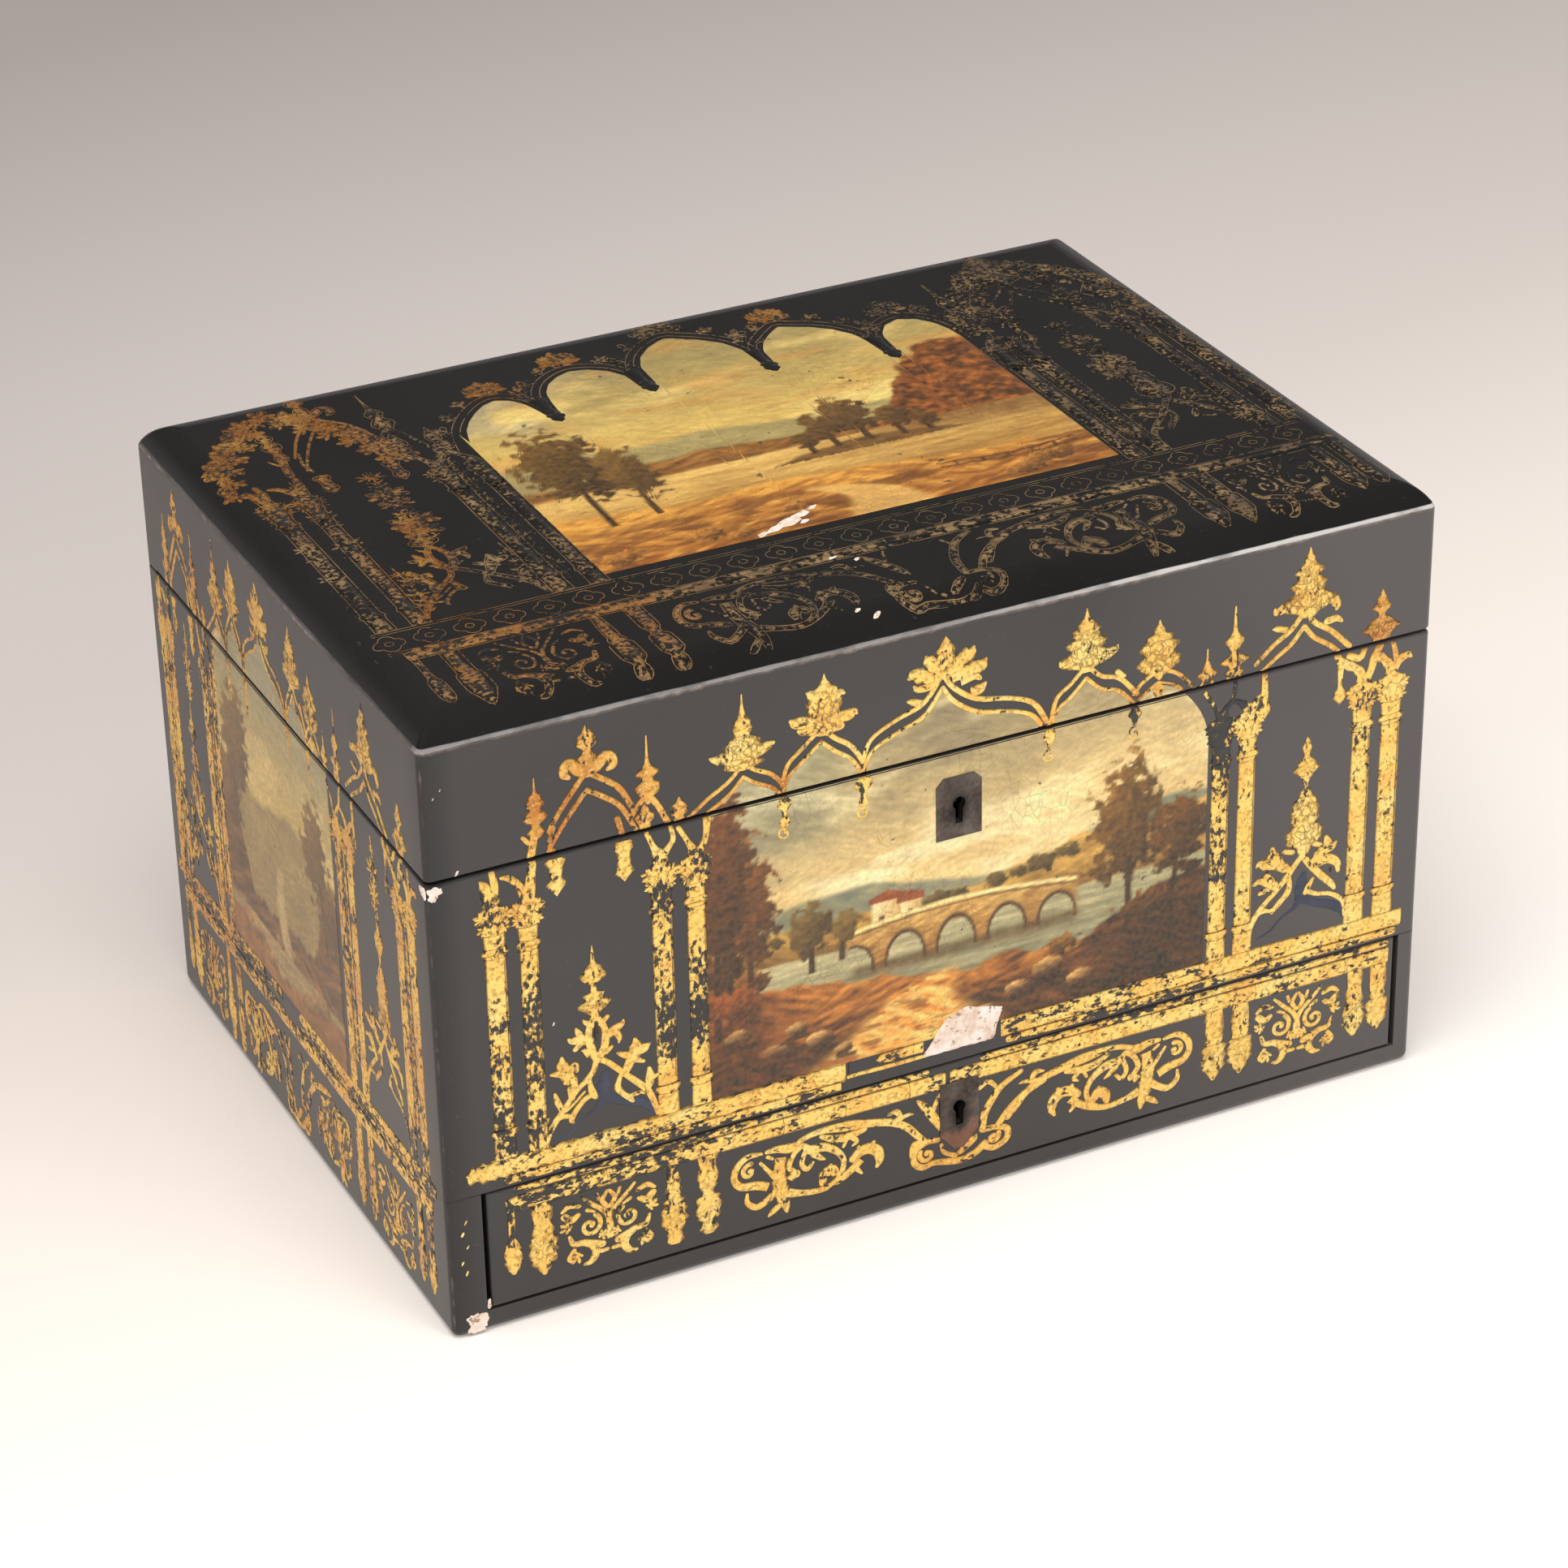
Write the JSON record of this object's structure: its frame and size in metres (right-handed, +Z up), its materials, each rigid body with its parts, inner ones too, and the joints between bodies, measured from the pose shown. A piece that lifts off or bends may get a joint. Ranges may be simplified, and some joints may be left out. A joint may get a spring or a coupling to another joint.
{
  "type": "sewing box",
  "caption": "Black lacquered sewing box with gilt Gothic arches, a hinged padded lid, a lift-out tray with a pincushion, and a drawer in the base, each part with its own lock.",
  "frame": {"origin": "middle of the flat underside", "axes": "+X to the right as seen from the front, -Y out of the front with both keyholes, +Z up"},
  "size_m": [0.3, 0.214, 0.185],
  "materials": {
    "lacquered_wood": "black lacquer, satin, with worn gilt ornament",
    "bare_wood": "oiled pine and cedar",
    "tray_wood": "covered in dark red paper",
    "silk": "crimson watered silk",
    "velvet": "crimson velvet",
    "lock_metal": "dull grey-brown, worn smooth",
    "hinge_brass": "aged",
    "screw_steel": "aged steel"
  },
  "bodies": {
    "carcase": {"base_board": "lacquered_wood", "left_cheek": "lacquered_wood", "right_cheek": "lacquered_wood", "lower_back": "lacquered_wood", "well_floor": "bare_wood", "body_front": "lacquered_wood", "body_back": "lacquered_wood", "body_left_side": "lacquered_wood", "body_right_side": "lacquered_wood", "tray_ledges": "bare_wood", "lid_escutcheon": "lock_metal", "lid_lock_case": "lock_metal", "left_hinge_body_leaf": "hinge_brass", "right_hinge_body_leaf": "hinge_brass", "left_hinge_pin": "hinge_brass", "right_hinge_pin": "hinge_brass", "hinge_body_screws": "screw_steel", "tray_floor": "tray_wood", "tray_front_wall": "tray_wood", "tray_back_wall": "tray_wood", "tray_left_wall": "tray_wood", "tray_right_wall": "tray_wood", "tray_long_partitions": "tray_wood", "tray_cross_partitions": "tray_wood", "tray_tabs": "silk", "pincushion": "velvet"},
    "lid": {"lid_panel": "lacquered_wood", "lid_front_rail": "lacquered_wood", "lid_back_rail": "lacquered_wood", "lid_left_rail": "lacquered_wood", "lid_right_rail": "lacquered_wood", "lid_padding": "silk", "link_plate": "lock_metal", "link_screws": "screw_steel", "left_hinge_lid_leaf": "hinge_brass", "right_hinge_lid_leaf": "hinge_brass", "hinge_lid_screws": "screw_steel"},
    "lid_bolt": {"lid_lock_bolt": "lock_metal"},
    "drawer": {"drawer_front": "lacquered_wood", "drawer_left_side": "bare_wood", "drawer_right_side": "bare_wood", "drawer_back": "bare_wood", "drawer_floor": "bare_wood", "drawer_escutcheon": "lock_metal", "drawer_lock_case": "lock_metal"},
    "drawer_bolt": {"drawer_lock_bolt": "lock_metal"}
  },
  "joints": [
    {"name": "lid_hinge", "type": "hinge", "parent": "carcase", "child": "lid", "pos_m": [0, 0.10705, 0.1405], "axis": [-1, 0, 0], "range_deg": [0, 100]},
    {"name": "drawer_slide", "type": "slide", "parent": "carcase", "child": "drawer", "axis": [0, -1, 0], "range_m": [0, 0.15]},
    {"name": "lid_bolt_slide", "type": "slide", "parent": "carcase", "child": "lid_bolt", "axis": [-1, 0, 0], "range_m": [0, 0.0032]},
    {"name": "drawer_bolt_lift", "type": "slide", "parent": "drawer", "child": "drawer_bolt", "axis": [0, 0, 1], "range_m": [0, 0.005]}
  ]
}
